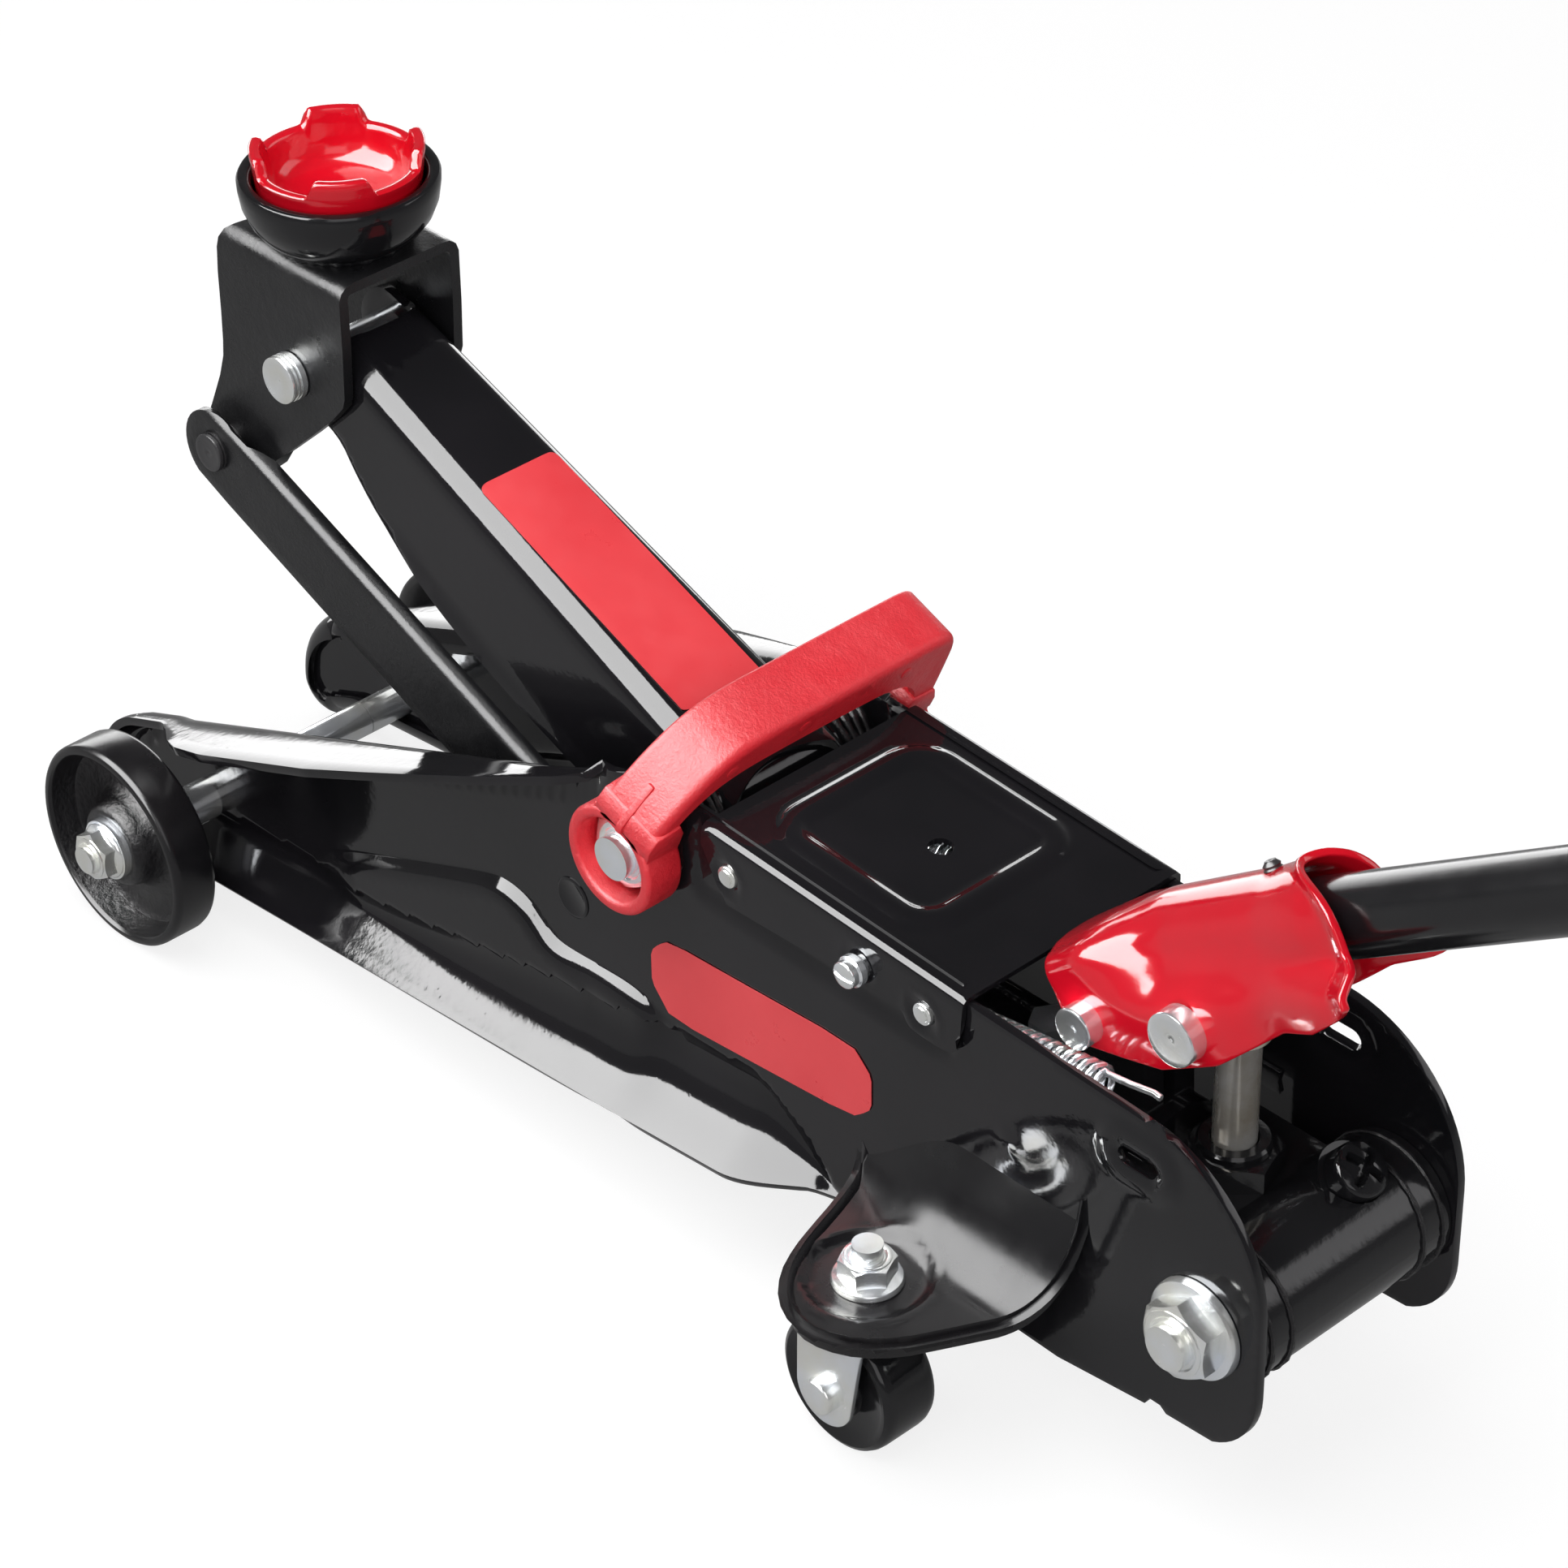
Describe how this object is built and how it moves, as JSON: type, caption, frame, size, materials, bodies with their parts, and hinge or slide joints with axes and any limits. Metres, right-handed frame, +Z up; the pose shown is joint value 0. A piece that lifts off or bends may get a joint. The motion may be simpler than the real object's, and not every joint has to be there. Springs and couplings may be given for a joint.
{
  "type": "hydraulic trolley jack",
  "caption": "Low hydraulic floor jack: parallel-linkage lift arm with a round saddle, pumped by a long handle, on front rollers and swivel casters.",
  "frame": {"origin": "centre of the bounding box in X and Y, on the floor under the wheels", "axes": "+Z up, +X rearward towards the pump handle, +Y across the jack"},
  "size_m": [0.8442, 0.184, 0.4452],
  "materials": {
    "black_paint": "gloss",
    "satin_black": "satin, finely textured",
    "zinc": "bright zinc plate",
    "red_paint": "gloss",
    "cast_black": "rough casting, painted",
    "red_plastic": "grained",
    "polished": "ground",
    "grip_rubber": "matte",
    "label_red": "printed film",
    "spring_steel": "zinc plated wire"
  },
  "bodies": {
    "chassis": {"left_side_plate": "black_paint", "right_side_plate": "black_paint", "cover_plate": "black_paint", "cover_screws": "zinc", "cover_studs": "zinc", "front_axle": "zinc", "axle_sleeves": "zinc", "wheel_spacers": "zinc", "front_axle_washers": "zinc", "front_axle_nuts": "zinc", "caster_bracket_left": "black_paint", "caster_bracket_right": "black_paint", "caster_bolts": "zinc", "caster_nuts": "zinc", "arm_pivot_shaft": "zinc", "arm_pivot_nuts": "zinc", "link_lower_pins": "satin_black", "power_unit": "cast_black", "ram_cylinder": "black_paint", "ram_gland": "satin_black", "filler_plug": "zinc", "pump_gland_nut": "satin_black", "rear_bolt": "zinc", "rear_nuts": "zinc", "side_labels": "label_red"},
    "front_wheel_left": {"front_wheel_left": "cast_black"},
    "front_wheel_right": {"front_wheel_right": "cast_black"},
    "caster_fork_left": {"caster_fork_left": "zinc", "caster_axle_left": "zinc"},
    "caster_fork_right": {"caster_fork_right": "zinc", "caster_axle_right": "zinc"},
    "caster_wheel_left": {"caster_wheel_left": "cast_black"},
    "caster_wheel_right": {"caster_wheel_right": "cast_black"},
    "lift_arm": {"lift_arm": "black_paint", "crosshead_pin": "zinc", "spring_pins": "zinc", "arm_label": "label_red", "bracket_pin": "zinc", "return_spring_left": "spring_steel", "return_spring_right": "spring_steel"},
    "links": {"link_left": "satin_black", "link_right": "satin_black"},
    "saddle_bracket": {"saddle_bracket": "satin_black", "saddle_cup": "black_paint", "link_upper_pin": "satin_black"},
    "saddle": {"saddle": "red_paint", "saddle_clip": "zinc"},
    "ram": {"ram": "polished"},
    "carry_handle": {"carry_handle": "red_plastic"},
    "handle": {"handle_socket": "red_paint", "fulcrum_pin": "zinc", "plunger_pin": "zinc", "clamp_screw": "zinc", "handle_lower_tube": "satin_black", "handle_upper_tube": "satin_black", "handle_grip": "grip_rubber", "handle_joint_screw": "zinc"},
    "plunger": {"pump_plunger": "polished"},
    "release_valve": {"release_valve": "zinc"}
  },
  "joints": [
    {"name": "front_wheel_left_spin", "type": "hinge", "parent": "chassis", "child": "front_wheel_left", "pos_m": [-0.37614, -0.065, 0.031], "axis": [0, 1, 0], "continuous": true},
    {"name": "front_wheel_right_spin", "type": "hinge", "parent": "chassis", "child": "front_wheel_right", "pos_m": [-0.37614, 0.065, 0.031], "axis": [0, 1, 0], "continuous": true},
    {"name": "caster_swivel_left", "type": "hinge", "parent": "chassis", "child": "caster_fork_left", "pos_m": [-0.07864, -0.065, 0.046], "axis": [0, 0, 1], "continuous": true},
    {"name": "caster_swivel_right", "type": "hinge", "parent": "chassis", "child": "caster_fork_right", "pos_m": [-0.07864, 0.065, 0.046], "axis": [0, 0, 1], "continuous": true},
    {"name": "caster_wheel_left_spin", "type": "hinge", "parent": "caster_fork_left", "child": "caster_wheel_left", "pos_m": [-0.08164, -0.065, 0.01925], "axis": [0, 1, 0], "continuous": true},
    {"name": "caster_wheel_right_spin", "type": "hinge", "parent": "caster_fork_right", "child": "caster_wheel_right", "pos_m": [-0.08164, 0.065, 0.01925], "axis": [0, 1, 0], "continuous": true},
    {"name": "lift_arm", "type": "hinge", "parent": "chassis", "child": "lift_arm", "pos_m": [-0.18764, 0, 0.1127], "axis": [0, 1, 0], "range_deg": [-32, 30], "deforming": ["return_spring_left", "return_spring_right"]},
    {"name": "saddle_bracket_pin", "type": "hinge", "parent": "lift_arm", "child": "saddle_bracket", "pos_m": [-0.34262, 0, 0.17753], "axis": [0, 1, 0], "range_deg": [-31, 33]},
    {"name": "link_pivot", "type": "hinge", "parent": "chassis", "child": "links", "pos_m": [-0.21764, 0, 0.0787], "axis": [0, 1, 0], "range_deg": [-33, 31]},
    {"name": "saddle_swivel", "type": "hinge", "parent": "saddle_bracket", "child": "saddle", "pos_m": [-0.34362, 0, 0.22203], "axis": [0, 0, 1], "continuous": true},
    {"name": "ram_slide", "type": "slide", "parent": "chassis", "child": "ram", "axis": [-1, 0, 0], "range_m": [-0.0208, 0.0195]},
    {"name": "carry_handle_swing", "type": "hinge", "parent": "chassis", "child": "carry_handle", "pos_m": [-0.18764, 0, 0.1127], "axis": [0, 1, 0], "range_deg": [-12, 5]},
    {"name": "handle_pump", "type": "hinge", "parent": "chassis", "child": "handle", "pos_m": [-0.05014, 0, 0.1215], "axis": [0, -1, 0], "range_deg": [-24, 16]},
    {"name": "plunger_slide", "type": "slide", "parent": "chassis", "child": "plunger", "axis": [0, 0, 1], "range_m": [-0.0133, 0.009]},
    {"name": "release_valve_turn", "type": "hinge", "parent": "chassis", "child": "release_valve", "pos_m": [-0.00214, 0.014, 0.078], "axis": [0.6428, 0, 0.766], "range_deg": [0, 270]}
  ],
  "couplings": [
    {"joint": "saddle_bracket_pin", "follows": "lift_arm", "ratio": -1},
    {"joint": "link_pivot", "follows": "lift_arm", "ratio": 1},
    {"joint": "ram_slide", "follows": "lift_arm", "m_per_rad": 0.0366},
    {"joint": "plunger_slide", "follows": "handle_pump", "m_per_rad": 0.0315}
  ]
}
